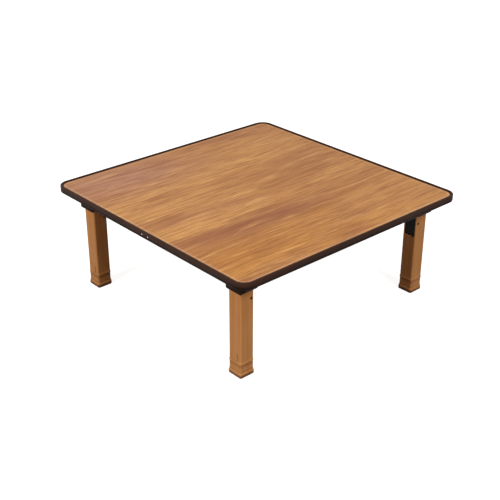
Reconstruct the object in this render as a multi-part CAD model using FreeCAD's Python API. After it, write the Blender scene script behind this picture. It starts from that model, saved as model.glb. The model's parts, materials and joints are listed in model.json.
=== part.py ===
import FreeCAD, Part
import os

Vec = FreeCAD.Vector

# Low square folding table. Millimetres, +Z up, origin on the floor under the middle of the top.
# The legs fold along X, in pairs that share one Y side.

# Table top
table_side = 700.0
overall_height = 274.0
lip_rise = 2.6
band_thickness = 5.0
band_drop = 3.0
band_edge_round = 1.6
band_lower_round = 3.2
edge_corner_radius = 31.0
laminate_thickness = 0.8
core_thickness = 10.6
backing_thickness = 0.6

# Tongue that holds the edge band in the board
tongue_depth = 8.0
tongue_thickness = 2.4
tongue_below_laminate = 3.2
tongue_clearance = 0.1

# Butt seam of the edge band, with a nail on each side
seam_y = -19.8
seam_gap = 0.4
nail_spacing = 21.6
nail_above_band_bottom = 9.8
nail_radius = 0.7
nail_head_radius = 1.4
nail_head_thickness = 0.5
nail_length = 15.0

# Legs
leg_inset_x = 43.5
leg_inset_y = 56.5
leg_depth = 38.0
leg_width = 39.0
leg_wall = 2.2
leg_edge_radius = 3.5
leg_bore_radius = 1.5
collar_height = 6.4
collar_bulge = 1.0
collar_rim_height = 2.6
collar_round = 0.5
slot_width = 33.0
slot_below_hinge = 82.5

# Leg hinge
hinge_from_inner = 14.0
ear_radius = 10.0
fold_gap = 1.5
rivet_radius = 3.0
rivet_head_radius = 4.5
rivet_head_thickness = 1.5
running_clearance = 0.05
moving_gap = 0.3

# Corner housing
plate_thickness = 3.0
plate_flange = 12.0
wall_thickness = 6.4
outward_cheek = 11.6
inward_cheek = 6.4
cheek_gap = 0.4
cheek_reach = 2.0
housing_below_hinge = 27.2
housing_corner_round = 9.0
housing_side_round = 17.0
housing_end_round = 10.0
housing_wall_round = 8.0
screw_radius = 1.7
screw_head_radius = 3.5
screw_head_height = 1.8
screw_in_board = 9.0
screw_spacing = 28.0
screw_from_flange_edge = 6.0

# Channel behind the slot of the leg
channel_sheet = 1.0
channel_fit = 0.1
channel_depth = 19.0
channel_bend = 2.0
channel_below_slot = 8.0
channel_web_below_hinge = 12.0
channel_ear_radius = 9.0

# Over-centre spring, from a lug of the housing to a cross pin in the leg
lug_outward = 10.0
lug_above_hinge = 8.0
lug_width = 8.0
lug_thickness = 3.0
lug_hole_radius = 1.7
spring_pin_radius = 1.8
spring_pin_from_inner = 7.0
spring_pin_below_hinge = 46.0
spring_radius = 2.8
spring_wire_radius = 0.6
spring_hook_radius = 4.0

# Foot
foot_height = 36.0
base_height = 17.0
base_flare = 1.9
base_corner_radius = 5.0
base_taper_height = 7.0
base_lower_round = 4.0
base_floor = 5.0
neck_gap = 0.9
spigot_length = 55.0
spigot_wall = 2.2
spigot_clearance = 0.3
foot_travel = 22.0
pad_thickness = 2.5
pad_proud = 1.0
pad_margin = 0.5
pad_corner_radius = 2.0

# Push tab
tab_width = 16.0
tab_height = 20.0
tab_thickness = 1.6
tab_proud = 1.0
tab_edge_round = 0.5
tab_gap = 1.0
tab_above_leg_end = 4.1
tab_pin_radius = 0.6
tab_pin_grip = 4.0
nose_width = 10.0
nose_height = 3.0
nose_reach = 3.0
nose_play = 0.8
track_depth = 0.9

# Levels of the table top
laminate_top = overall_height - lip_rise
core_top = laminate_top - laminate_thickness
core_bottom = core_top - core_thickness
board_bottom = core_bottom - backing_thickness
band_bottom = board_bottom - band_drop
board_side = table_side - 2 * band_thickness
board_radius = edge_corner_radius - band_thickness
tongue_top = core_top - tongue_below_laminate
tongue_bottom = tongue_top - tongue_thickness

# Levels and faces of one corner, with X pointing inward from the hinge axis
plate_bottom = board_bottom - plate_thickness
hinge_z = plate_bottom - fold_gap - hinge_from_inner
leg_inner = hinge_from_inner
leg_outer = hinge_from_inner - leg_depth
leg_middle = (leg_inner + leg_outer) / 2
leg_side = leg_width / 2
bore_depth = leg_depth - 2 * leg_wall
bore_width = leg_width - 2 * leg_wall
bore_side = bore_width / 2
bore_inner = leg_inner - leg_wall
bore_outer = leg_outer + leg_wall
slot_bottom = hinge_z - slot_below_hinge
leg_bottom = foot_height
collar_top = leg_bottom + collar_height
collar_rim_top = leg_bottom + collar_rim_height
hinge_x = table_side / 2 - leg_inset_x + leg_outer
leg_y = table_side / 2 - leg_inset_y - leg_side
wall_outer = leg_outer - moving_gap - wall_thickness
cheek_inner = leg_side + cheek_gap
cheek_end = leg_inner + cheek_reach
plate_middle = (wall_outer + cheek_end) / 2
housing_bottom = hinge_z - housing_below_hinge
channel_side = bore_side - channel_fit
channel_inner = bore_inner - channel_fit
channel_bottom = slot_bottom - channel_below_slot
lug_x = -lug_outward
lug_z = hinge_z + lug_above_hinge
spring_pin_x = leg_inner - spring_pin_from_inner
spring_pin_z = hinge_z - spring_pin_below_hinge
pad_inset = base_lower_round + pad_margin
spigot_outer = bore_outer + spigot_clearance
spigot_depth = bore_depth - 2 * spigot_clearance
spigot_width = bore_width - 2 * spigot_clearance
spigot_top = leg_bottom + spigot_length
tab_bottom = leg_bottom + tab_above_leg_end + tab_gap
tab_top = tab_bottom + tab_height
tab_pin_x = leg_outer + leg_wall / 2
tab_knuckle_radius = leg_wall / 2
tab_pin_z = tab_top - tab_knuckle_radius
nose_bottom = tab_bottom + tab_gap
nose_top = nose_bottom + nose_height

corner_signs = {
    "front_left": (-1, -1),
    "front_right": (1, -1),
    "back_left": (-1, 1),
    "back_right": (1, 1),
}


# Shape helpers

def block(x_from, x_to, y_from, y_to, z_from, z_to):
    return Part.makeBox(x_to - x_from, y_to - y_from, z_to - z_from, Vec(x_from, y_from, z_from))


def rod_along_y(radius, x, z, y_from, y_to):
    return Part.makeCylinder(radius, y_to - y_from, Vec(x, y_from, z), Vec(0, 1, 0))


def rounded_prism(size_x, size_y, radius, bottom, top, middle_x=0.0):
    half_x = size_x / 2
    half_y = size_y / 2
    prism = block(middle_x - half_x, middle_x + half_x, -half_y, half_y, bottom, top)
    upright = [edge for edge in prism.Edges if edge.BoundBox.ZLength > 0.5 * (top - bottom)]
    return prism.makeFillet(radius, upright)


def edges_at(shape, level):
    return [edge for edge in shape.Edges
            if abs(edge.BoundBox.ZMin - level) < 1e-6 and abs(edge.BoundBox.ZMax - level) < 1e-6]


def taper(lower, lower_level, upper, upper_level):
    outlines = [edges_at(lower, lower_level), edges_at(upper, upper_level)]
    return Part.makeLoft([Part.Wire(Part.__sortEdges__(edges)) for edges in outlines], True)


def board_layer(bottom, top):
    return rounded_prism(board_side, board_side, board_radius, bottom, top)


def ring_in_board(depth, bottom, top):
    reach = band_thickness / 2
    outer = rounded_prism(board_side + 2 * reach, board_side + 2 * reach, board_radius + reach, bottom, top)
    inner_side = board_side - 2 * depth
    inner = rounded_prism(inner_side, inner_side, board_radius - depth, bottom, top)
    return outer.cut(inner)


def cheek_faces(hand):
    outward = cheek_inner + outward_cheek
    inward = cheek_inner + inward_cheek
    return (-inward, outward) if hand > 0 else (-outward, inward)


def in_corner(shape, name):
    sign_x, sign_y = corner_signs[name]
    placed = shape.copy()
    if sign_x > 0:
        placed.rotate(Vec(0, 0, 0), Vec(0, 0, 1), 180)
    placed.translate(Vec(sign_x * hinge_x, sign_y * leg_y, 0))
    return placed


def hand_of(name):
    sign_x, sign_y = corner_signs[name]
    return -sign_x * sign_y


# Fasteners

def seam_nails():
    nails = []
    nail_z = band_bottom + nail_above_band_bottom
    for side in (-1, 1):
        start = Vec(-table_side / 2, seam_y + side * nail_spacing / 2, nail_z)
        head = Part.makeCylinder(nail_head_radius, nail_head_thickness, start, Vec(1, 0, 0))
        shank = Part.makeCylinder(nail_radius, nail_length, start, Vec(1, 0, 0))
        nails.append(head.fuse(shank).removeSplitter())
    return nails


def corner_screws(hand):
    screws = []
    low, high = cheek_faces(hand)
    beside_cheek = plate_flange - screw_from_flange_edge
    for x in (plate_middle - screw_spacing / 2, plate_middle + screw_spacing / 2):
        for y in (low - beside_cheek, high + beside_cheek):
            shank_length = plate_thickness + screw_in_board
            shank = Part.makeCylinder(screw_radius, shank_length, Vec(x, y, plate_bottom))
            head = Part.makeCylinder(screw_head_radius, screw_head_height,
                                     Vec(x, y, plate_bottom - screw_head_height))
            head = head.makeFillet(screw_head_height / 2, edges_at(head, plate_bottom - screw_head_height))
            screws.append(shank.fuse(head).removeSplitter())
    return screws


def hinge_rivets(hand):
    rivets = []
    inner_end = channel_side - channel_sheet - moving_gap
    for side, cheek_face in zip((-1, 1), cheek_faces(hand)):
        head = side * rivet_head_thickness
        ends = sorted((side * inner_end - head, cheek_face))
        shank = rod_along_y(rivet_radius, 0, hinge_z, ends[0], ends[1])
        ends = sorted((cheek_face - head, cheek_face))
        outer_head = rod_along_y(rivet_head_radius, 0, hinge_z, ends[0], ends[1])
        ends = sorted((side * inner_end - head, side * inner_end))
        inner_head = rod_along_y(rivet_head_radius, 0, hinge_z, ends[0], ends[1])
        rivets.append(shank.fuse([outer_head, inner_head]).removeSplitter())
    return rivets


# Table top

def edge_band(nails):
    outer = rounded_prism(table_side, table_side, edge_corner_radius, band_bottom, overall_height)
    outer = outer.makeFillet(band_edge_round, edges_at(outer, overall_height))
    outer = outer.makeFillet(band_lower_round, edges_at(outer, band_bottom))
    wall = outer.cut(board_layer(band_bottom, overall_height))
    band = wall.fuse(ring_in_board(tongue_depth, tongue_bottom, tongue_top)).removeSplitter()
    seam_depth = band_thickness + tongue_depth
    edge_x = -table_side / 2
    seam = block(edge_x, edge_x + seam_depth, seam_y - seam_gap / 2, seam_y + seam_gap / 2,
                 band_bottom, overall_height)
    return band.cut([seam] + nails)


def board_core(nails, screws):
    kerf = ring_in_board(tongue_depth + tongue_clearance,
                         tongue_bottom - tongue_clearance, tongue_top + tongue_clearance)
    return board_layer(core_bottom, core_top).cut([kerf] + nails + screws)


# One corner: housing fixed to the board

def housing_outside(hand):
    low, high = cheek_faces(hand)
    raw = block(wall_outer, cheek_end, low, high, housing_bottom, plate_bottom)
    corners = [edge for edge in raw.Edges
               if edge.BoundBox.ZLength > 1 and edge.BoundBox.XMax < leg_outer]
    lower = edges_at(raw, housing_bottom)
    sides = [edge for edge in lower if edge.BoundBox.XLength > 1]
    ends = [edge for edge in lower if edge.BoundBox.XMin > leg_inner]
    wall_edge = [edge for edge in lower if edge.BoundBox.XMax < leg_outer]
    shape = raw.makeFillet(housing_corner_round, corners)
    shape = shape.common(raw.makeFillet(housing_side_round, sides))
    shape = shape.common(raw.makeFillet(housing_end_round, ends))
    return shape.common(raw.makeFillet(housing_wall_round, wall_edge))


def corner_housing(hand, rivets, screws):
    low, high = cheek_faces(hand)
    plate = block(wall_outer, cheek_end, low - plate_flange, high + plate_flange, plate_bottom, board_bottom)
    plate_ends = [edge for edge in plate.Edges if edge.BoundBox.ZLength > plate_thickness / 2]
    plate = plate.makeFillet(screw_from_flange_edge, plate_ends)
    inside = block(leg_outer - moving_gap, cheek_end, -cheek_inner, cheek_inner, housing_bottom, plate_bottom)
    walls = housing_outside(hand).cut(inside)
    lug_side = lug_thickness / 2
    lug = block(lug_x - lug_width / 2, lug_x + lug_width / 2, -lug_side, lug_side, lug_z, plate_bottom)
    lug = lug.fuse(rod_along_y(lug_width / 2, lug_x, lug_z, -lug_side, lug_side))
    lug = lug.cut(rod_along_y(lug_hole_radius, lug_x, lug_z, -lug_side, lug_side))
    housing = plate.fuse([walls, lug]).removeSplitter()
    return housing.cut(rivets + screws)


# One corner: leg

def hinge_bore():
    return rod_along_y(rivet_radius + running_clearance, 0, hinge_z, -leg_side, leg_side)


def leg_shell(pins):
    tube = rounded_prism(leg_depth, leg_width, leg_edge_radius, collar_top, hinge_z, leg_middle)
    rim = rounded_prism(leg_depth + 2 * collar_bulge, leg_width + 2 * collar_bulge,
                        leg_edge_radius + collar_bulge, leg_bottom, collar_rim_top, leg_middle)
    rim = rim.makeFillet(collar_round, edges_at(rim, leg_bottom))
    flare = taper(rim, collar_rim_top, tube, collar_top)
    ears = rod_along_y(ear_radius, 0, hinge_z, -leg_side, leg_side)
    top = hinge_z + ear_radius
    bore = rounded_prism(bore_depth, bore_width, leg_bore_radius, leg_bottom, top, leg_middle)
    slot = block(bore_inner, leg_inner, -slot_width / 2, slot_width / 2, slot_bottom, hinge_z)
    window_side = tab_width / 2 + tab_gap
    window = block(leg_outer - collar_bulge, bore_outer, -window_side, window_side,
                   tab_bottom - tab_gap, tab_top + tab_gap)
    return tube.fuse([flare, rim, ears]).removeSplitter().cut([bore, slot, window, hinge_bore()] + pins)


def leg_channel(pins):
    back = channel_inner - channel_depth
    outside = block(back, channel_inner, -channel_side, channel_side, channel_bottom, hinge_z)
    bends = [edge for edge in outside.Edges
             if edge.BoundBox.ZLength > 1 and edge.BoundBox.XMin > back]
    outside = outside.makeFillet(channel_bend, bends)
    ears = rod_along_y(channel_ear_radius, 0, hinge_z, -channel_side, channel_side)
    inside_side = channel_side - channel_sheet
    top = hinge_z + channel_ear_radius
    inside = block(back - channel_depth, channel_inner - channel_sheet, -inside_side, inside_side,
                   channel_bottom, top)
    inner_bends = [edge for edge in inside.Edges
                   if edge.BoundBox.ZLength > 1 and edge.BoundBox.XMin > back]
    inside = inside.makeFillet(channel_bend - channel_sheet, inner_bends)
    web_cut = block(channel_inner - channel_bend, channel_inner, -channel_side, channel_side,
                    hinge_z - channel_web_below_hinge, top)
    return outside.fuse(ears).removeSplitter().cut([inside, web_cut, hinge_bore()] + pins)


def spring_pin():
    return rod_along_y(spring_pin_radius, spring_pin_x, spring_pin_z, -leg_side, leg_side)


def toggle_spring():
    lug_end = Vec(lug_x, 0, lug_z)
    pin_end = Vec(spring_pin_x, 0, spring_pin_z)
    along = (pin_end - lug_end).normalize()
    across = along.cross(Vec(0, 1, 0))
    pin_loop_radius = spring_pin_radius + spring_wire_radius + running_clearance
    lug_loop = Part.makeTorus(spring_hook_radius, spring_wire_radius,
                              lug_end + along * spring_hook_radius, across)
    pin_loop = Part.makeTorus(pin_loop_radius, spring_wire_radius, pin_end, Vec(0, 1, 0))
    coil_start = lug_end + along * (2 * spring_hook_radius)
    coil_length = (pin_end - coil_start).Length - pin_loop_radius
    coil = Part.makeCylinder(spring_radius, coil_length, coil_start, along)
    return coil.fuse([lug_loop, pin_loop]).removeSplitter()


# One corner: foot and push tab

def foot():
    base_depth = leg_depth + 2 * base_flare
    base_width = leg_width + 2 * base_flare
    taper_bottom = base_height - base_taper_height
    base = rounded_prism(base_depth, base_width, base_corner_radius, pad_proud, taper_bottom, leg_middle)
    base = base.makeFillet(base_lower_round, edges_at(base, pad_proud))
    neck_top = leg_bottom - neck_gap
    neck = rounded_prism(leg_depth, leg_width, leg_edge_radius, base_height, neck_top, leg_middle)
    slope = taper(base, taper_bottom, neck, base_height)
    spigot = rounded_prism(spigot_depth, spigot_width, leg_bore_radius, pad_proud, spigot_top, leg_middle)
    hollow = rounded_prism(spigot_depth - 2 * spigot_wall, spigot_width - 2 * spigot_wall,
                           leg_bore_radius, base_floor, spigot_top, leg_middle)
    track_side = tab_width / 2 + 2 * tab_gap
    track = block(spigot_outer, spigot_outer + track_depth, -track_side, track_side, neck_top, spigot_top)
    nose_slot_side = nose_width / 2 + tab_gap
    nose_slot = block(spigot_outer, spigot_outer + spigot_wall, -nose_slot_side, nose_slot_side,
                      nose_bottom - nose_play, nose_top + foot_travel + nose_play)
    return base.fuse([slope, neck, spigot]).removeSplitter().cut([hollow, foot_pad(), track, nose_slot])


def foot_pad():
    pad_depth = leg_depth + 2 * (base_flare - pad_inset)
    pad_width = leg_width + 2 * (base_flare - pad_inset)
    return rounded_prism(pad_depth, pad_width, pad_corner_radius, 0, pad_thickness, leg_middle)


def height_tab():
    side = tab_width / 2
    face = leg_outer - tab_proud
    plate = block(face, leg_outer + tab_thickness, -side, side, tab_bottom, tab_top)
    plate = plate.makeFillet(tab_edge_round, [edge for edge in plate.Edges if edge.BoundBox.XMax < leg_outer])
    knuckle = rod_along_y(tab_knuckle_radius, tab_pin_x, tab_pin_z, -side, side)
    nose_start = leg_outer + tab_thickness
    nose = block(leg_outer, nose_start + nose_reach, -nose_width / 2, nose_width / 2, nose_bottom, nose_top)
    pin_hole = rod_along_y(tab_pin_radius + running_clearance, tab_pin_x, tab_pin_z, -side, side)
    return plate.fuse([knuckle, nose]).removeSplitter().cut(pin_hole)


def tab_pin():
    reach = tab_width / 2 + tab_gap + tab_pin_grip
    return rod_along_y(tab_pin_radius, tab_pin_x, tab_pin_z, -reach, reach)


# Write one file for each node

def save(node, solids):
    Part.makeCompound(solids).exportStep("parts/" + node + ".step")


os.makedirs("parts", exist_ok=True)

nails = seam_nails()
screws = {hand: corner_screws(hand) for hand in (-1, 1)}
rivets = {hand: hinge_rivets(hand) for hand in (-1, 1)}
housings = {hand: corner_housing(hand, rivets[hand], screws[hand]) for hand in (-1, 1)}
cross_pin = spring_pin()
pivot_pin = tab_pin()
all_screws = [in_corner(screw, name) for name in corner_signs for screw in screws[hand_of(name)]]

save("top_laminate", board_layer(core_top, laminate_top).Solids)
save("board_core", board_core(nails, all_screws).Solids)
save("backing_sheet", board_layer(board_bottom, core_bottom).cut(all_screws).Solids)
save("edge_band", edge_band(nails).Solids)
save("edge_nails", nails)
save("housing_screws", all_screws)

leg_pieces = {
    "leg_shell": leg_shell([cross_pin, pivot_pin]),
    "leg_channel": leg_channel([cross_pin]),
    "spring_pin": cross_pin,
    "toggle_spring": toggle_spring(),
    "foot": foot(),
    "foot_pad": foot_pad(),
    "height_tab": height_tab(),
    "tab_pin": pivot_pin,
}
for name in corner_signs:
    hand = hand_of(name)
    save("corner_housing_" + name, in_corner(housings[hand], name).Solids)
    save("hinge_rivets_" + name, [in_corner(rivet, name) for rivet in rivets[hand]])
    for piece, shape in leg_pieces.items():
        save(piece + "_" + name, in_corner(shape, name).Solids)
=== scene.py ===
# %% [markdown]
# A low folding table, dressed for a picture
#
# The table stands on four moulded legs that fold flat under a wood-grain top. Most of its pieces are right
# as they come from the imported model, so much of this lesson is about finishes: a printed wood laminate,
# satin mouldings, painted and bare steel. The small pieces that the model keeps plain, which are the coil
# springs and their pins, the screws, the nails and the rubber pads, are built here as meshes.

# %% Load the frame
import bmesh
import bpy
import json
import math
from mathutils import Matrix, Quaternion, Vector


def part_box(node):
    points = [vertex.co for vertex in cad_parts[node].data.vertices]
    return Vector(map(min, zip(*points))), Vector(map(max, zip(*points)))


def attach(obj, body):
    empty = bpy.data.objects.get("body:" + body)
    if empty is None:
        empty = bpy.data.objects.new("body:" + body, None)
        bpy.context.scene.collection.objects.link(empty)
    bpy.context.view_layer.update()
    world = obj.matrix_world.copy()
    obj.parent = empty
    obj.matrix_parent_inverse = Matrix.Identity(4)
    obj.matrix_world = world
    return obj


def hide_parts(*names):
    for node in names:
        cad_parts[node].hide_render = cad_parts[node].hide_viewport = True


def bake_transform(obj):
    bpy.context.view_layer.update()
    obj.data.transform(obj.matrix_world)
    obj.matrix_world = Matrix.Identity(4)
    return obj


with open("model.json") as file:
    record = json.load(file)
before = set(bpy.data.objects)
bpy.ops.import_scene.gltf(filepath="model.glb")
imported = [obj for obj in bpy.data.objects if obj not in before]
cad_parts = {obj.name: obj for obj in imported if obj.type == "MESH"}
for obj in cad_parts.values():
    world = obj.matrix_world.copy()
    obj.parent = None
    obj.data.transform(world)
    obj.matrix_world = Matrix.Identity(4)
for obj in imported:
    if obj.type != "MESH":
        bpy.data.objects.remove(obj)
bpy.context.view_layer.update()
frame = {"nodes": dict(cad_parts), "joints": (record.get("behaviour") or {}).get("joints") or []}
scene = bpy.context.scene
scene.view_settings.view_transform = "Standard"
nodes = frame["nodes"]
joints = {joint["name"]: joint for joint in frame["joints"]}
corners = ["front_left", "front_right", "back_left", "back_right"]
print("pieces from the model:", len(nodes), "joints:", len(joints))

# %% [markdown]
# Camera
#
# The photograph looks down on the front corner with a long lens, and leans by a hair. The camera was worked
# out from the straight edges of the top and the legs, so here it is a few plain values: where it stands, the
# way that it looks, how far it leans, and its lens.

# %% Camera
camera_place = Vector((-1.4936, -1.6424, 1.2375))
camera_aim = Vector((0.5957, 0.66214, -0.45466))
camera_lean = 0.00281
camera_lens_mm = 70.9
camera_sensor_mm = 36

camera = bpy.data.objects.new("camera", bpy.data.cameras.new("camera"))
camera.data.lens = camera_lens_mm
camera.data.sensor_width = camera_sensor_mm
camera.location = camera_place
level_camera = camera_aim.to_track_quat("-Z", "Y")
camera.rotation_euler = (level_camera @ Quaternion((0, 0, 1), camera_lean)).to_euler()
scene.collection.objects.link(camera)
scene.camera = camera
print("camera stands", round(camera_place.length, 2), "m from the origin")

# %% [markdown]
# Small helpers for node trees
#
# A finish is a tree of nodes that ends in one Principled shader. These helpers add a node and set its
# sockets in one line, so that each finish below reads like a recipe. A socket that has the same value
# all over the surface is set on the shader itself, and only what varies comes through a link.

# %% Helpers that add nodes
def new_finish(name, roughness, specular=0.5, metallic=0.0):
    material = bpy.data.materials.new(name)
    material.use_nodes = True
    shader = material.node_tree.nodes["Principled BSDF"]
    shader.inputs["Roughness"].default_value = roughness
    shader.inputs["Specular IOR Level"].default_value = specular
    shader.inputs["Metallic"].default_value = metallic
    return material, material.node_tree, shader


def set_socket(tree, socket, value):
    if isinstance(value, bpy.types.NodeSocket):
        tree.links.new(value, socket)
    else:
        socket.default_value = value


def add_node(tree, kind, sockets=(), **settings):
    node = tree.nodes.new(kind)
    for setting, value in settings.items():
        setattr(node, setting, value)
    for socket, value in dict(sockets).items():
        set_socket(tree, node.inputs[socket], value)
    return node


print("helpers that add nodes are ready")

# %% [markdown]
# Helpers for patterns
#
# Nearly every pattern here is noise that is read at a place, spread over a range of values, and used to mix
# two colours. The place is in the piece's own metres, so a pattern keeps its scale and travels with its
# piece. Colours are written as they look on a screen, and srgb turns them into the light that a shader works
# with.

# %% Helpers for patterns
# A Mix node keeps its sockets for numbers, vectors and colours side by side: these are the ones for colours
mix_amount_socket = 0
mix_colour_sockets = (6, 7)
mix_colour_output = 2


def place_of(tree):
    return add_node(tree, "ShaderNodeTexCoord").outputs["Object"]


def stretched_noise(tree, place, repeats, detail=3.0, roughness=0.5, shift=(0, 0, 0)):
    mapped = add_node(tree, "ShaderNodeMapping", {"Vector": place, "Scale": repeats, "Location": shift})
    noise = add_node(tree, "ShaderNodeTexNoise", {"Vector": mapped.outputs["Vector"], "Scale": 1.0,
                                                  "Detail": detail, "Roughness": roughness})
    return noise.outputs["Fac"]


def spread(tree, value, low, high, to_low=0.0, to_high=1.0):
    sockets = {"Value": value, "From Min": low, "From Max": high, "To Min": to_low, "To Max": to_high}
    return add_node(tree, "ShaderNodeMapRange", sockets, clamp=True).outputs["Result"]


def mix_colour(tree, amount, first, second):
    node = add_node(tree, "ShaderNodeMix", data_type="RGBA")
    set_socket(tree, node.inputs[mix_amount_socket], amount)
    for socket, colour in zip(mix_colour_sockets, (first, second)):
        set_socket(tree, node.inputs[socket], colour)
    return node.outputs[mix_colour_output]


def raise_surface(tree, shader, height, depth, strength=1.0):
    bump = add_node(tree, "ShaderNodeBump", {"Height": height, "Distance": depth, "Strength": strength})
    tree.links.new(bump.outputs["Normal"], shader.inputs["Normal"])


def srgb(red, green, blue):
    """A colour as a screen shows it, turned into light by the screen standard's own curve."""
    def linear(level):
        level = level / 255
        return level / 12.92 if level <= 0.04045 else ((level + 0.055) / 1.055) ** 2.4
    return (linear(red), linear(green), linear(blue), 1.0)


print("helpers for patterns are ready")

# %% [markdown]
# The wood-grain laminate: tones
#
# The top is a printed sheet under a satin wear layer, with its grain along X. An image would be the usual
# way to make it. Noise that is stretched along the grain does it too, keeps its scale in metres, and needs
# no unwrapping. Broad zones come first, from golden to amber, with six stretches of the board that have a
# tone of their own, the strongest a red streak near the front. The rose stretch at the back left is a painted
# sheen, a pinkish reflection painted into the colour. Each is given by its middle and by how far it reaches
# along and across the grain.

# %% Laminate tones
golden = srgb(204, 149, 83)
amber = srgb(178, 122, 66)
pale_gold = srgb(224, 172, 106)
ochre = srgb(194, 134, 56)
# Painted sheen: a pinkish tone that stands in for a reflection at the back left of the top
rose_sheen = srgb(168, 123, 107)
nut_brown = srgb(160, 106, 62)
reddish = srgb(142, 84, 56)
fibre_brown = srgb(140, 86, 46)
pore_brown = srgb(96, 56, 30)
# Painted highlight: a paler tone along the rim of the sheet
rim_highlight_tone = srgb(236, 192, 150)
# Painted shade: a dark line at the foot of the band's lip
lip_shade_brown = srgb(66, 36, 18)

toned_stretches = [
    # The rose stretch at the back left is a painted sheen, a reflection painted into the colour
    {"middle": (-0.24, 0.27), "reach": (0.34, 0.15), "tone": rose_sheen, "strength": 0.85},
    {"middle": (-0.24, 0.01), "reach": (0.36, 0.24), "tone": pale_gold, "strength": 0.50},
    {"middle": (0.33, 0.14), "reach": (0.30, 0.45), "tone": nut_brown, "strength": 0.34},
    {"middle": (0.27, -0.29), "reach": (0.32, 0.16), "tone": nut_brown, "strength": 0.34},
    {"middle": (-0.20, -0.29), "reach": (0.60, 0.14), "tone": ochre, "strength": 0.60},
    {"middle": (-0.12, -0.141), "reach": (0.30, 0.052), "tone": reddish, "strength": 1.00},
]
stretch_core_share = 0.2
print("stretches with a tone of their own:", len(toned_stretches))

# %% [markdown]
# The wood-grain laminate: grain
#
# Redder figure, pale gleams, dark streaks, thin lines, fibres and short pores go over the zones, each finer
# than the last. A layer is one noise, and its repeats say how often it changes in a metre along the grain and
# across it. A tone comes in where the noise rises from one level to another. The shifts pick a part of the
# noise whose figure falls as it does in the photograph.

# %% Laminate grain
grain_layers = {
    "zones": {"repeats": (1.6, 6.0, 1.0), "detail": 2.0, "shift": (12.0, 17.5, 0)},
    "figure": {"repeats": (2.6, 17.0, 1.0), "detail": 4.0, "roughness": 0.55, "shift": (17.1, 22.1, 0)},
    "gleams": {"repeats": (6.0, 70.0, 1.0), "detail": 4.0, "roughness": 0.6, "shift": (1.7, 3.1, 0)},
    "streaks": {"repeats": (7.0, 110.0, 1.0), "detail": 5.0, "roughness": 0.65},
    "lines": {"repeats": (7.0, 230.0, 1.0), "detail": 3.0, "roughness": 0.6, "shift": (0.9, 2.2, 0)},
    "fibres": {"repeats": (16.0, 420.0, 1.0), "detail": 3.0, "roughness": 0.6},
    "pores": {"repeats": (42.0, 900.0, 1.0), "detail": 2.0, "shift": (0.7, 0.2, 0)},
}
zone_levels = (0.36, 0.62)
grain_tones = [
    {"layer": "figure", "levels": (0.48, 0.72), "strength": 0.75, "tone": reddish},
    {"layer": "gleams", "levels": (0.54, 0.70), "strength": 0.60, "tone": pale_gold},
    {"layer": "streaks", "levels": (0.50, 0.66), "strength": 0.58, "tone": fibre_brown},
    {"layer": "lines", "levels": (0.53, 0.62), "strength": 0.55, "tone": fibre_brown},
    {"layer": "fibres", "levels": (0.48, 0.64), "strength": 0.50, "tone": fibre_brown},
    {"layer": "pores", "levels": (0.60, 0.72), "strength": 0.55, "tone": pore_brown},
]
print("layers of grain:", list(grain_layers))

# %% [markdown]
# The wood-grain laminate: sway, stretches and rim
#
# A slow sway bends all the grain together, as the grain of one board bends. A painted highlight makes the
# rim a little paler, and painted shade makes a dark line where the sheet meets the lip of the band. Both
# follow the distance to the sheet's rounded outline. Folding the sheet into one quarter and measuring from
# the middle of its corner's arc gives that distance with a few vector nodes.

# %% Laminate helpers
sway_repeats = (2.6, 6.0, 1.0)
sway_levels = (0.2, 0.8)
sway_reach = 0.010
laminate_half_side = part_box("top_laminate")[1].x
laminate_corner_radius = 0.026


def nearness(tree, value, middle, full, reach):
    offset = add_node(tree, "ShaderNodeMath", {0: value, 1: middle}, operation="SUBTRACT")
    distance = add_node(tree, "ShaderNodeMath", {0: offset.outputs[0]}, operation="ABSOLUTE")
    return spread(tree, distance.outputs[0], full, reach, 1.0, 0.0)


def times(tree, first, second):
    return add_node(tree, "ShaderNodeMath", {0: first, 1: second}, operation="MULTIPLY").outputs[0]


def swaying_place(tree, place):
    sway = stretched_noise(tree, place, sway_repeats, detail=2.0)
    aside = spread(tree, sway, *sway_levels, -sway_reach, sway_reach)
    bend = add_node(tree, "ShaderNodeCombineXYZ", {"Y": aside})
    moved = add_node(tree, "ShaderNodeVectorMath", {0: place, 1: bend.outputs["Vector"]}, operation="ADD")
    return moved.outputs["Vector"]


def outward_reach(tree, place, inset):
    folded = add_node(tree, "ShaderNodeVectorMath", {0: place}, operation="ABSOLUTE")
    past = add_node(tree, "ShaderNodeVectorMath", {0: folded.outputs[0], 1: (inset, inset, 1.0)},
                    operation="SUBTRACT")
    kept = add_node(tree, "ShaderNodeVectorMath", {0: past.outputs[0], 1: (0, 0, 0)}, operation="MAXIMUM")
    return add_node(tree, "ShaderNodeVectorMath", {0: kept.outputs[0]}, operation="LENGTH").outputs["Value"]


print("half side of the laminate:", round(laminate_half_side, 4), "m")

# %% [markdown]
# The wood-grain laminate: finish
#
# The finish puts the layers together: zones, stretches, grain, a painted highlight on the rim and painted
# shade at the lip. The stretches end along the streaks, so their edges look like grain and not like paint.
# The same noises serve twice: the streaks also change the gloss, and the pores also dent the surface.

# %% Laminate finish
streak_edge_levels = (0.25, 0.65)
streak_edge_range = (0.55, 1.0)
# The paler rim is a painted highlight, and the dark line at the lip is painted shade
rim_highlight_width = 0.0120
rim_highlight_strength = 0.34
lip_shade_width = 0.0036
lip_shade_softness = 0.0006
lip_shade_strength = 0.95
streak_gloss_levels = (0.3, 0.7)
laminate_roughness_range = (0.38, 0.48)
pore_dent_levels = (0.55, 0.75)
pore_depth = 0.0001


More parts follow.
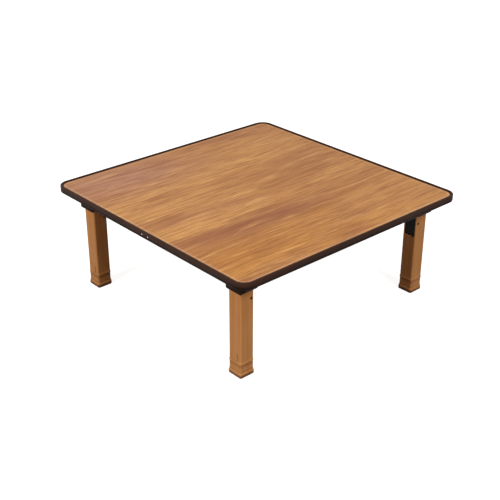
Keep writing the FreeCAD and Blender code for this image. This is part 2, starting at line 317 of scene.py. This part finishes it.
def laminate_finish():
    material, tree, shader = new_finish("wood_grain_laminate", roughness=0.42, specular=0.12)
    flat_place = place_of(tree)
    place = swaying_place(tree, flat_place)
    parts = add_node(tree, "ShaderNodeSeparateXYZ", {"Vector": place})
    noises = {name: stretched_noise(tree, place, **layer) for name, layer in grain_layers.items()}

    colour = mix_colour(tree, spread(tree, noises["zones"], *zone_levels), golden, amber)
    grain_edge = spread(tree, noises["streaks"], *streak_edge_levels, *streak_edge_range)
    for stretch in toned_stretches:
        near = grain_edge
        for axis, middle, reach in zip("XY", stretch["middle"], stretch["reach"]):
            core = stretch_core_share * reach
            near = times(tree, near, nearness(tree, parts.outputs[axis], middle, core, reach))
        colour = mix_colour(tree, times(tree, near, stretch["strength"]), colour, stretch["tone"])
    for grain in grain_tones:
        amount = spread(tree, noises[grain["layer"]], *grain["levels"], 0.0, grain["strength"])
        colour = mix_colour(tree, amount, colour, grain["tone"])

    rim = outward_reach(tree, flat_place, laminate_half_side - laminate_corner_radius)
    rim_highlight_start = laminate_corner_radius - rim_highlight_width
    lip_shade_start = laminate_corner_radius - lip_shade_width
    # Painted highlight: the rim is mixed towards a paler tone
    rim_highlight = spread(tree, rim, rim_highlight_start, lip_shade_start, 0.0, rim_highlight_strength)
    colour = mix_colour(tree, rim_highlight, colour, rim_highlight_tone)
    # Painted shade: a dark line where the sheet meets the lip of the band
    lip_shade = spread(tree, rim, lip_shade_start - lip_shade_softness, lip_shade_start, 0.0, lip_shade_strength)
    colour = mix_colour(tree, lip_shade, colour, lip_shade_brown)
    tree.links.new(colour, shader.inputs["Base Color"])

    satin = spread(tree, noises["streaks"], *streak_gloss_levels, *laminate_roughness_range)
    tree.links.new(satin, shader.inputs["Roughness"])
    raise_surface(tree, shader, spread(tree, noises["pores"], *pore_dent_levels, 1.0, 0.0), pore_depth)
    return material


laminate = laminate_finish()
print("finish:", laminate.name)

# %% [markdown]
# Moulded plastic
#
# The edge band, the corner housings, the legs and the feet are moulded plastic. Real mouldings are never
# one flat colour: the pigment flows in faint streaks, the surface has a fine leathery grain from the
# mould, and the gloss changes a little from place to place. One recipe with different colours and flow
# directions serves them all. Their gloss is kept low, because these mouldings are matt. Some have painted
# shade in dark bands at a height of their own: a foot is painted darker at its lower rim near the floor and
# in the corners above and below its neck, and the lower edge of the band round the top is painted darker
# than its face.

# %% Recipe for moulded plastic
flow_levels = (0.36, 0.68)
flow_strength = 0.55
cloud_repeats = (14.0, 14.0, 14.0)
cloud_levels = (0.40, 0.75)
cloud_strength = 0.25
patch_levels = (0.3, 0.6)
patch_range = (0.65, 0.95)
moulded_gloss_levels = (0.3, 0.7)
moulded_gloss_change = (-0.05, 0.07)
mould_grain_depth = 0.00005
mould_grain_strength = 0.6


def moulded_finish(name, colour, flow_colour, flow_repeats, grain_size, roughness, specular, shade_bands=()):
    material, tree, shader = new_finish(name, roughness, specular)
    place = place_of(tree)
    flow = stretched_noise(tree, place, flow_repeats, detail=4.0, roughness=0.6)
    clouds = stretched_noise(tree, place, cloud_repeats, detail=3.0)
    mixed = mix_colour(tree, spread(tree, flow, *flow_levels, 0.0, flow_strength), colour, flow_colour)
    mixed = mix_colour(tree, spread(tree, clouds, *cloud_levels, 0.0, cloud_strength), mixed, flow_colour)
    height = add_node(tree, "ShaderNodeSeparateXYZ", {"Vector": place}).outputs["Z"]
    # Each band paints shade into the colour at a height of its own
    for band in shade_bands:
        near = nearness(tree, height, band["middle"], band["full"], band["reach"])
        strength_range = [band["strength"] * share for share in patch_range]
        patches = spread(tree, clouds, *patch_levels, *strength_range)
        mixed = mix_colour(tree, times(tree, near, patches), mixed, band["tone"])
    tree.links.new(mixed, shader.inputs["Base Color"])
    satin_range = [roughness + change for change in moulded_gloss_change]
    satin = spread(tree, clouds, *moulded_gloss_levels, *satin_range)
    tree.links.new(satin, shader.inputs["Roughness"])
    grain = stretched_noise(tree, place, (1 / grain_size,) * 3, detail=2.0)
    raise_surface(tree, shader, grain, mould_grain_depth, mould_grain_strength)
    return material


print("recipe for moulded plastic is ready")

# %% Moulded finishes
# Painted shade for the feet: darker near the floor and in the corners above and below the neck
floor_shade_brown = srgb(74, 40, 20)
crease_shade_brown = srgb(96, 52, 24)
# Painted shade: the lower edge of the band round the top is darker than its face
band_edge_shade = srgb(14, 8, 5)
band_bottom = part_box("edge_band")[0].z

# Painted shade: at the floor, above the flare and under the collar
foot_shade_bands = [
    {"middle": 0.0, "full": 0.0069, "reach": 0.0125, "tone": floor_shade_brown, "strength": 1.0},
    {"middle": 0.0172, "full": 0.0003, "reach": 0.0025, "tone": crease_shade_brown, "strength": 0.50},
    {"middle": 0.0353, "full": 0.0005, "reach": 0.0110, "tone": crease_shade_brown, "strength": 0.55},
]
# Painted shade along the lower edge of the band
band_edge_shade_bands = [
    {"middle": band_bottom, "full": 0.0050, "reach": 0.0105, "tone": band_edge_shade, "strength": 1.0},
]
leg_recipe = {"colour": srgb(190, 136, 84), "flow_colour": srgb(166, 108, 58),
              "flow_repeats": (110.0, 110.0, 3.0), "grain_size": 0.0011, "roughness": 0.46, "specular": 0.06}
leg_brown = moulded_finish("leg_brown_moulding", **leg_recipe)
foot_brown = moulded_finish("foot_brown_moulding", **leg_recipe, shade_bands=foot_shade_bands)
edge_dark = moulded_finish("edge_dark_moulding", colour=srgb(61, 41, 32), flow_colour=srgb(47, 30, 23),
                           flow_repeats=(4.0, 4.0, 160.0), grain_size=0.0009, roughness=0.46, specular=0.04,
                           shade_bands=band_edge_shade_bands)
housing_dark = moulded_finish("housing_dark_moulding", colour=srgb(46, 30, 24), flow_colour=srgb(36, 22, 17),
                              flow_repeats=(30.0, 30.0, 30.0), grain_size=0.0010, roughness=0.55,
                              specular=0.02)
print("finishes:", leg_brown.name, foot_brown.name, edge_dark.name, housing_dark.name)

# %% [markdown]
# Steel, paint, rubber and board
#
# The channel in each leg is pressed steel under black paint, so it gets a soft orange-peel surface. The
# pins and rivets are blackened, the screws, nails and springs are bright. Rubber is nearly black and rough.
# The board and its backing sheet show only from below. Two recipes cover all of these: one for bare metal
# with fine scratches, and one for a surface with specks.

# %% Bare steel
dull_patch_repeats = (260.0, 260.0, 260.0)
dull_patch_levels = (0.4, 0.7)
scratch_repeats = (300.0, 4000.0, 900.0)
scratch_levels = (0.3, 0.7)
scratch_gloss_change = (-0.08, 0.12)
scratch_depth = 0.00001
scratch_strength = 0.5


def steel_finish(name, colour, dull_colour, roughness):
    material, tree, shader = new_finish(name, roughness, metallic=1.0)
    place = place_of(tree)
    patches = stretched_noise(tree, place, dull_patch_repeats, detail=4.0)
    scratches = stretched_noise(tree, place, scratch_repeats, detail=2.0)
    mixed = mix_colour(tree, spread(tree, patches, *dull_patch_levels), colour, dull_colour)
    tree.links.new(mixed, shader.inputs["Base Color"])
    scratched_range = [roughness + change for change in scratch_gloss_change]
    scratched = spread(tree, scratches, *scratch_levels, *scratched_range)
    tree.links.new(scratched, shader.inputs["Roughness"])
    raise_surface(tree, shader, scratches, scratch_depth, scratch_strength)
    return material


blackened_steel = steel_finish("blackened_steel", srgb(42, 27, 21), srgb(27, 17, 13), roughness=0.45)
bright_steel = steel_finish("bright_steel", srgb(214, 210, 204), srgb(170, 166, 160), roughness=0.32)
nail_steel = steel_finish("nail_steel", srgb(244, 242, 238), srgb(222, 219, 214), roughness=0.40)
print("finishes:", blackened_steel.name, bright_steel.name, nail_steel.name)

# %% Paint, rubber and board
speck_levels = (0.42, 0.66)
speck_gloss_levels = (0.3, 0.7)
speck_gloss_change = (-0.06, 0.06)


def speckled_finish(name, colour, speck_colour, speck_size, roughness, depth):
    material, tree, shader = new_finish(name, roughness, specular=0.06)
    place = place_of(tree)
    specks = stretched_noise(tree, place, (1 / speck_size,) * 3, detail=4.0, roughness=0.6)
    mixed = mix_colour(tree, spread(tree, specks, *speck_levels), colour, speck_colour)
    tree.links.new(mixed, shader.inputs["Base Color"])
    uneven_range = [roughness + change for change in speck_gloss_change]
    uneven = spread(tree, specks, *speck_gloss_levels, *uneven_range)
    tree.links.new(uneven, shader.inputs["Roughness"])
    raise_surface(tree, shader, specks, depth)
    return material


black_paint = speckled_finish("black_paint", srgb(18, 13, 11), srgb(11, 8, 7),
                              speck_size=0.0012, roughness=0.46, depth=0.00003)
rubber = speckled_finish("pad_rubber", srgb(44, 40, 38), srgb(34, 31, 30),
                         speck_size=0.0006, roughness=0.80, depth=0.00004)
board = speckled_finish("pressed_board", srgb(196, 164, 118), srgb(156, 122, 82),
                        speck_size=0.0018, roughness=0.80, depth=0.0001)
backing = speckled_finish("backing_foil", srgb(196, 170, 132), srgb(184, 156, 118),
                          speck_size=0.0030, roughness=0.62, depth=0.00003)
print("finishes:", black_paint.name, rubber.name, board.name, backing.name)

# %% [markdown]
# Give each piece its finish
#
# Most pieces are right as they are in the model, so they only change material. A table from the first
# words of a name to its finish is enough, because the four corners use the same names.

# %% Assign finishes
finishes = {
    "top_laminate": laminate,
    "board_core": board,
    "backing_sheet": backing,
    "edge_band": edge_dark,
    "edge_nails": nail_steel,
    "housing_screws": bright_steel,
    "corner_housing": housing_dark,
    "hinge_rivets": blackened_steel,
    "leg_shell": leg_brown,
    "leg_channel": black_paint,
    "spring_pin": blackened_steel,
    "toggle_spring": bright_steel,
    "foot_pad": rubber,
    "foot": foot_brown,
    "height_tab": leg_brown,
    "tab_pin": blackened_steel,
}


def finish_of(node_name):
    for corner in corners:
        node_name = node_name.removesuffix("_" + corner)
    return finishes[node_name]


for node_name, piece in nodes.items():
    piece.data.materials.clear()
    piece.data.materials.append(finish_of(node_name))
print("finished pieces:", len(nodes))

# %% [markdown]
# Helpers for shapes
#
# Turned parts, such as a screw head, are a profile of radius and height carried round an axis. Flat parts
# are an outline that is carried from one level to another. Both are built point by point with bmesh, which
# is quicker and neater in a script than adding ready-made solids and bending them.

# %% Turned and flat shapes
def to_mesh(shape, name, smooth=True):
    bmesh.ops.recalc_face_normals(shape, faces=shape.faces)
    mesh = bpy.data.meshes.new(name)
    shape.to_mesh(mesh)
    shape.free()
    mesh.polygons.foreach_set("use_smooth", [smooth] * len(mesh.polygons))
    return mesh


def turned_mesh(name, profile, sides):
    shape = bmesh.new()
    turns = [2 * math.pi * side / sides for side in range(sides)]
    rings = [[shape.verts.new((radius * math.cos(turn), radius * math.sin(turn), height)) for turn in turns]
             for radius, height in profile]
    for lower, upper in zip(rings, rings[1:]):
        for side in range(sides):
            after = (side + 1) % sides
            shape.faces.new((lower[side], lower[after], upper[after], upper[side]))
    shape.faces.new(rings[0])
    shape.faces.new(rings[-1])
    return to_mesh(shape, name)


def prism_mesh(name, outline, bottom, top):
    shape = bmesh.new()
    rings = [[shape.verts.new((x, y, level)) for x, y in outline] for level in (bottom, top)]
    shape.faces.new(rings[0])
    shape.faces.new(rings[1])
    for index in range(len(outline)):
        after = (index + 1) % len(outline)
        shape.faces.new((rings[0][index], rings[0][after], rings[1][after], rings[1][index]))
    return to_mesh(shape, name, smooth=False)


print("helpers for turned and flat shapes are ready")

# %% [markdown]
# Helpers for cutting, copying and placing
#
# A shape is cut with a Boolean modifier, whose result is kept as a plain mesh, so that nothing is left to
# work out later. Every new piece ends up as one mesh object with its finish, and hides the plain solid that
# it stands for. All but the springs are then attached to a body of the model. The places of screws and nails
# are read from that solid.

# %% Cutting and copying
def cut_mesh(mesh, cutter):
    body = bpy.data.objects.new("body", mesh)
    knife = bpy.data.objects.new("knife", cutter)
    scene.collection.objects.link(body)
    scene.collection.objects.link(knife)
    cut = body.modifiers.new("cut", "BOOLEAN")
    cut.object = knife
    cut.operation = "DIFFERENCE"
    cut.solver = "EXACT"
    done = bpy.data.meshes.new_from_object(body.evaluated_get(bpy.context.evaluated_depsgraph_get()))
    bpy.data.objects.remove(body)
    bpy.data.objects.remove(knife)
    return done


def copies_mesh(name, mesh, places):
    shape = bmesh.new()
    for place in places:
        copy = mesh.copy()
        copy.transform(place)
        shape.from_mesh(copy)
        bpy.data.meshes.remove(copy)
    joined = bpy.data.meshes.new(name)
    shape.to_mesh(joined)
    shape.free()
    return joined


def soft_edges(mesh, sharp_above_deg):
    mesh.polygons.foreach_set("use_smooth", [True] * len(mesh.polygons))
    mesh.set_sharp_from_angle(angle=math.radians(sharp_above_deg))


print("helpers for cutting and copying are ready")

# %% Placing
solid_reach = 0.016


def add_piece(mesh, finish, slot, *replaced):
    mesh.materials.clear()
    mesh.materials.append(finish)
    piece = bpy.data.objects.new(mesh.name, mesh)
    scene.collection.objects.link(piece)
    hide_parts(*replaced)
    return piece


def solid_boxes(node_name):
    """Lowest and highest corner of each separate solid of a node, found by grouping points that lie near."""
    groups = []
    for vertex in nodes[node_name].data.vertices:
        near = [group for group in groups if (group[0] - vertex.co).length < solid_reach]
        if near:
            near[0].append(vertex.co.copy())
        else:
            groups.append([vertex.co.copy()])
    boxes = []
    for group in groups:
        low = Vector([min(point[axis] for point in group) for axis in range(3)])
        high = Vector([max(point[axis] for point in group) for axis in range(3)])
        boxes.append((low, high))
    return boxes


screw_boxes = solid_boxes("housing_screws")
nail_boxes = solid_boxes("edge_nails")
print("found in the model:", len(screw_boxes), "screws and", len(nail_boxes), "nails")

# %% [markdown]
# Housing screws
#
# Sixteen pan-head screws hold the housings under the board. Seen from below they are what gives away that
# the mouldings are screwed on, so each has a domed head with a cross cut into it. The dome is turned, the
# cross is a plus-shaped prism that is cut out of it, and every screw has stopped at its own angle.

# %% Housing screws
screw_head_radius = 0.0035
screw_head_height = 0.0018
screw_rim_share = 0.25
screw_dome_steps = 7
screw_sides = 40
screw_shank_radius = 0.0016
screw_point_radius = 0.0003
screw_point_length = 0.002
cross_reach = 0.0019
cross_half_width = 0.00045
cross_depth = 0.0010
turn_between_screws = 0.7


def screw_mesh(length):
    dome = []
    for step in range(screw_dome_steps):
        angle = step * math.pi / 2 / screw_dome_steps
        rise = screw_rim_share + (1 - screw_rim_share) * math.sin(angle)
        dome.append((screw_head_radius * math.cos(angle), -screw_head_height * rise))
    profile = [(screw_point_radius, length), (screw_shank_radius, length - screw_point_length),
               (screw_shank_radius, 0), (screw_head_radius, 0)] + dome
    head = turned_mesh("screw", profile, screw_sides)
    long, half = cross_reach, cross_half_width
    plus = [(half, half), (half, long), (-half, long), (-half, half), (-long, half), (-long, -half),
            (-half, -half), (-half, -long), (half, -long), (half, -half), (long, -half), (long, half)]
    cutter = prism_mesh("cross", plus, -2 * screw_head_height, cross_depth - screw_head_height)
    return cut_mesh(head, cutter)


first_low, first_high = screw_boxes[0]
one_screw = screw_mesh(first_high.z - first_low.z - screw_head_height)
soft_edges(one_screw, sharp_above_deg=35)
screw_places = []
for index, (low, high) in enumerate(screw_boxes):
    seat = Vector(((low.x + high.x) / 2, (low.y + high.y) / 2, low.z + screw_head_height))
    screw_places.append(Matrix.Translation(seat) @ Matrix.Rotation(index * turn_between_screws, 4, "Z"))
screws = add_piece(copies_mesh("housing_screw_heads", one_screw, screw_places), bright_steel,
                   "screw", "housing_screws")
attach(screws, "tabletop")
print("screws:", len(screw_places))

# %% [markdown]
# Nails beside the seam
#
# The edge band is one strip whose ends meet in a butt seam on the left side, and a small nail beside each
# end keeps it down. A nail head is a shallow dome with a rim, turned like the screw and laid on its side.

# %% Nails
nail_head_radius = 0.0014
nail_head_height = 0.0005
nail_shank_radius = 0.00065
nail_point_radius = 0.0002
nail_point_length = 0.0015
nail_sides = 32
# Share of the head's radius, and height against the top of the dome
nail_dome = [(1.0, -0.0002), (0.85, -0.00006), (0.5, -0.00002), (0.1, 0.0)]


def nail_mesh(length):
    shank = [(nail_point_radius, -length), (nail_shank_radius, nail_point_length - length),
             (nail_shank_radius, -nail_head_height), (nail_head_radius, -nail_head_height)]
    dome = [(share * nail_head_radius, height) for share, height in nail_dome]
    return turned_mesh("nail", shank + dome, nail_sides)


first_low, first_high = nail_boxes[0]
one_nail = nail_mesh(first_high.x - first_low.x)
soft_edges(one_nail, sharp_above_deg=50)
facing_left = Matrix.Rotation(-math.pi / 2, 4, "Y")
nail_places = []
for low, high in nail_boxes:
    face = Vector((low.x, (low.y + high.y) / 2, (low.z + high.z) / 2))
    nail_places.append(Matrix.Translation(face) @ facing_left)
nails = add_piece(copies_mesh("seam_nail_heads", one_nail, nail_places), nail_steel, "nail", "edge_nails")
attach(nails, "tabletop")
print("nails:", len(nail_places))

# %% [markdown]
# Rubber pads
#
# Each foot stands on a rubber pad that is let into its base. From below, two sets of crossing grooves cut
# the pad into small treads. The pad is a rounded slab, and thin bars are cut out of its lower face, first
# one way and then the other, so that the bars of one cut never cross each other.

# %% Rubber pads
pad_corner_radius = 0.002
pad_corner_steps = 6
groove_count = 4
groove_width = 0.0014
groove_depth = 0.0009


def rounded_outline(low, high, radius):
    outline = []
    for turn, x, y in ((0, high.x - radius, high.y - radius), (1, low.x + radius, high.y - radius),
                       (2, low.x + radius, low.y + radius), (3, high.x - radius, low.y + radius)):
        for step in range(pad_corner_steps + 1):
            angle = (turn + step / pad_corner_steps) * math.pi / 2
            outline.append((x + radius * math.cos(angle), y + radius * math.sin(angle)))
    return outline


def bar_mesh(low, high):
    outline = [(low.x, low.y), (high.x, low.y), (high.x, high.y), (low.x, high.y)]
    return prism_mesh("bar", outline, low.z, high.z)


def pad_mesh(corner):
    low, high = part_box("foot_pad_" + corner)
    pad = prism_mesh("pad", rounded_outline(low, high, pad_corner_radius), low.z, high.z)
    for axis in (0, 1):
        span = high[axis] - low[axis]
        for groove in range(groove_count):
            across = low[axis] + span * (groove + 1) / (groove_count + 1)
            bar_low = Vector((low.x - groove_width, low.y - groove_width, low.z - groove_depth))
            bar_high = Vector((high.x + groove_width, high.y + groove_width, low.z + groove_depth))
            bar_low[axis] = across - groove_width / 2
            bar_high[axis] = across + groove_width / 2
            pad = cut_mesh(pad, bar_mesh(bar_low, bar_high))
    pad.name = "tread_pad_" + corner
    return pad


for corner in corners:
    pad = add_piece(pad_mesh(corner), rubber, "pad", "foot_pad_" + corner)
    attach(pad, "foot_" + corner)
print("pads:", len(corners), "grooves in each:", 2 * groove_count)

# %% [markdown]
# Cross pins
#
# The lower end of each toggle spring hangs on a steel pin that goes through the leg. Its ends are peened over
# on the outside, so each side of a leg shows one small dark dome. The pin is turned in one go, from dome to
# dome, and then laid along Y.

# %% Cross pins
pin_head_radius = 0.0037
pin_head_height = 0.0006
pin_dome_steps = 6
pin_sides = 32


def pin_mesh(name, low, high):
    shank_radius = (high.x - low.x) / 2
    half = (high.y - low.y) / 2
    angles = [step * math.pi / 2 / (pin_dome_steps + 1) for step in range(pin_dome_steps + 1)]
    dome = [(pin_head_radius * math.cos(angle), half + pin_head_height * math.sin(angle)) for angle in angles]
    upper = [(shank_radius, half)] + dome
    lower = [(radius, -height) for radius, height in reversed(upper)]
    mesh = turned_mesh(name, lower + upper, pin_sides)
    mesh.transform(Matrix.Translation((low + high) / 2) @ Matrix.Rotation(math.pi / 2, 4, "X"))
    return mesh


for corner in corners:
    low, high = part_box("spring_pin_" + corner)
    peened_pin = pin_mesh("peened_pin_" + corner, low, high)
    soft_edges(peened_pin, sharp_above_deg=40)
    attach(add_piece(peened_pin, blackened_steel, "steel", "spring_pin_" + corner), "leg_" + corner)
print("cross pins:", len(corners))

# %% [markdown]
# Toggle springs: the line of the wire
#
# A coil spring runs inside each leg from a lug of the housing to the cross pin. It pulls the leg open or
# shut as it passes the hinge. The model has a rod in its place. Here it is wound from one wire: a loop
# through the lug, close coils that grow from nothing and shrink to nothing, and a loop round the pin.

# %% Line of the wire
coil_radius = 0.0022
coil_pitch = 0.00132
lug_loop_radius = 0.004
lug_loop_turn = math.radians(320)
pin_loop_radius = 0.00245
pin_loop_turn = math.radians(330)
points_per_turn = 14


def spring_path(lug, pin):
    along = (pin - lug).normalized()
    side = Vector((0, 1, 0))
    across = along.cross(side)
    path = []
    for step in range(points_per_turn):
        turn = lug_loop_turn * (1 - step / points_per_turn)
        outward = along * (1 + math.cos(turn)) + side * math.sin(turn)
        path.append(lug + outward * lug_loop_radius)
    coil_start = lug + along * 2 * lug_loop_radius
    coil_length = (pin - coil_start).length - pin_loop_radius
    steps = round(coil_length / coil_pitch) * points_per_turn
    for step in range(steps + 1):
        radius = coil_radius * min(1.0, step / points_per_turn, (steps - step) / points_per_turn)
        angle = 2 * math.pi * step / points_per_turn
        around = side * math.cos(angle) + across * math.sin(angle)
        path.append(coil_start + along * coil_length * step / steps + around * radius)
    for step in range(1, points_per_turn + 1):
        turn = pin_loop_turn * step / points_per_turn
        outward = across * math.sin(turn) - along * math.cos(turn)
        path.append(pin + outward * pin_loop_radius)
    return path


print("coils are", round(2 * coil_radius * 1000, 1), "mm across at the middle of the wire")

# %% [markdown]
# Toggle springs: the wire
#
# A curve with a round bevel gives the wire, and is then kept as a mesh.

# %% Toggle springs
lug_outward = 0.010
lug_above_hinge = 0.008
wire_radius = 0.0006
wire_roundness = 2


def wire_mesh(name, path):
    curve = bpy.data.curves.new(name, "CURVE")
    curve.dimensions = "3D"
    curve.bevel_depth = wire_radius
    curve.bevel_resolution = wire_roundness
    curve.use_fill_caps = True
    line = curve.splines.new("POLY")
    line.points.add(len(path) - 1)
    for point, place in zip(line.points, path):
        point.co = (place.x, place.y, place.z, 1)
    holder = bpy.data.objects.new(name, curve)
    scene.collection.objects.link(holder)
    mesh = bpy.data.meshes.new_from_object(holder.evaluated_get(bpy.context.evaluated_depsgraph_get()))
    bpy.data.objects.remove(holder)
    mesh.name = name
    return mesh


for corner in corners:
    hinge = Vector(joints["leg_fold_" + corner]["pos_m"])
    outward = math.copysign(1, hinge.x)
    lug = hinge + Vector((outward * lug_outward, 0, lug_above_hinge))
    low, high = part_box("spring_pin_" + corner)
    pin = (low + high) / 2
    wire = wire_mesh("coil_spring_" + corner, spring_path(lug, pin))
    spring = add_piece(wire, bright_steel, "spring", "toggle_spring_" + corner)
    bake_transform(spring)
    print("spring:", corner, "from lug to pin", round((pin - lug).length * 1000, 1), "mm")

# %% [markdown]
# Floor
#
# The table stands on a plain white floor. To the camera, and in anything that mirrors or lets light through,
# the floor glows almost white and keeps a faint soft shadow, and far off it glows quite white, so that no
# horizon shows. To bounced light it is a dim warm tone, as a wooden floor would be, so that the undersides
# stay as dark as they are in the photograph.

# %% Floor
floor_side = 16.0
near_floor = 1.2
far_floor = 4.0
near_glow = 0.88
white = (1, 1, 1, 1)
floor_grey = (0.5, 0.5, 0.5, 1)
floor_bounce = (0.15, 0.10, 0.07, 1)


def seen_directly(tree):
    path = add_node(tree, "ShaderNodeLightPath")
    seen = path.outputs["Is Camera Ray"]
    for ray in ("Is Glossy Ray", "Is Transmission Ray"):
        either = add_node(tree, "ShaderNodeMath", {0: seen, 1: path.outputs[ray]}, operation="MAXIMUM")
        seen = either.outputs[0]
    return seen


def floor_finish():
    material = bpy.data.materials.new("white_floor")
    material.use_nodes = True
    tree = material.node_tree
    tree.nodes.clear()
    lit = add_node(tree, "ShaderNodeBsdfDiffuse", {"Color": floor_grey})
    far_off = add_node(tree, "ShaderNodeVectorMath", {0: place_of(tree)}, operation="LENGTH").outputs["Value"]
    strength = spread(tree, far_off, near_floor, far_floor, near_glow, 1.0)
    glow = add_node(tree, "ShaderNodeEmission", {"Color": white, "Strength": strength})
    shown = add_node(tree, "ShaderNodeAddShader", {0: lit.outputs[0], 1: glow.outputs[0]})
    bounce = add_node(tree, "ShaderNodeBsdfDiffuse", {"Color": floor_bounce})
    both = add_node(tree, "ShaderNodeMixShader", {0: seen_directly(tree), 1: bounce.outputs[0],
                                                  2: shown.outputs[0]})
    output = add_node(tree, "ShaderNodeOutputMaterial")
    tree.links.new(both.outputs[0], output.inputs["Surface"])
    return material


half = floor_side / 2
floor_mesh = bpy.data.meshes.new("floor")
floor_mesh.from_pydata([(-half, -half, 0), (half, -half, 0), (half, half, 0), (-half, half, 0)], [],
                       [(0, 1, 2, 3)])
floor_mesh.materials.append(floor_finish())
floor = bpy.data.objects.new("floor", floor_mesh)
scene.collection.objects.link(floor)
print("floor:", floor_side, "m each way")

# %% [markdown]
# Room and lamps
#
# The room is white to the camera and in reflections, and only fills in a little light, in the floor's warm
# tone. Two soft lamps stand high on the left and at the front, and the top shades what is under it from them.
# Weak lamps on the right and behind give shape to the sides that the camera doesn't see.

# %% Room and lamps
room_fill = (0.084, 0.035, 0.018, 1)
lamp_side = 1.8
lamp_target = Vector((0, 0, 0.2))
lamps = [
    {"name": "left_softbox", "place": Vector((-4.4, -0.30, 3.3)), "power": 220},
    {"name": "front_softbox", "place": Vector((-0.45, -4.3, 3.4)), "power": 180},
    {"name": "right_softbox", "place": Vector((4.3, 0.3, 3.2)), "power": 45},
    {"name": "back_softbox", "place": Vector((0.0, 4.3, 3.2)), "power": 45},
]


def white_room(fill):
    world = bpy.data.worlds.new("white_room")
    world.use_nodes = True
    tree = world.node_tree
    tree.nodes.clear()
    colour = mix_colour(tree, seen_directly(tree), fill, white)
    light = add_node(tree, "ShaderNodeBackground", {"Color": colour, "Strength": 1.0})
    output = add_node(tree, "ShaderNodeOutputWorld")
    tree.links.new(light.outputs[0], output.inputs["Surface"])
    return world


def soft_lamp(name, place, power):
    lamp = bpy.data.lights.new(name, "AREA")
    lamp.shape = "SQUARE"
    lamp.size = lamp_side
    lamp.energy = power
    holder = bpy.data.objects.new(name, lamp)
    holder.location = place
    holder.rotation_euler = (lamp_target - place).to_track_quat("-Z", "Y").to_euler()
    scene.collection.objects.link(holder)


scene.world = white_room(room_fill)
for lamp in lamps:
    soft_lamp(**lamp)
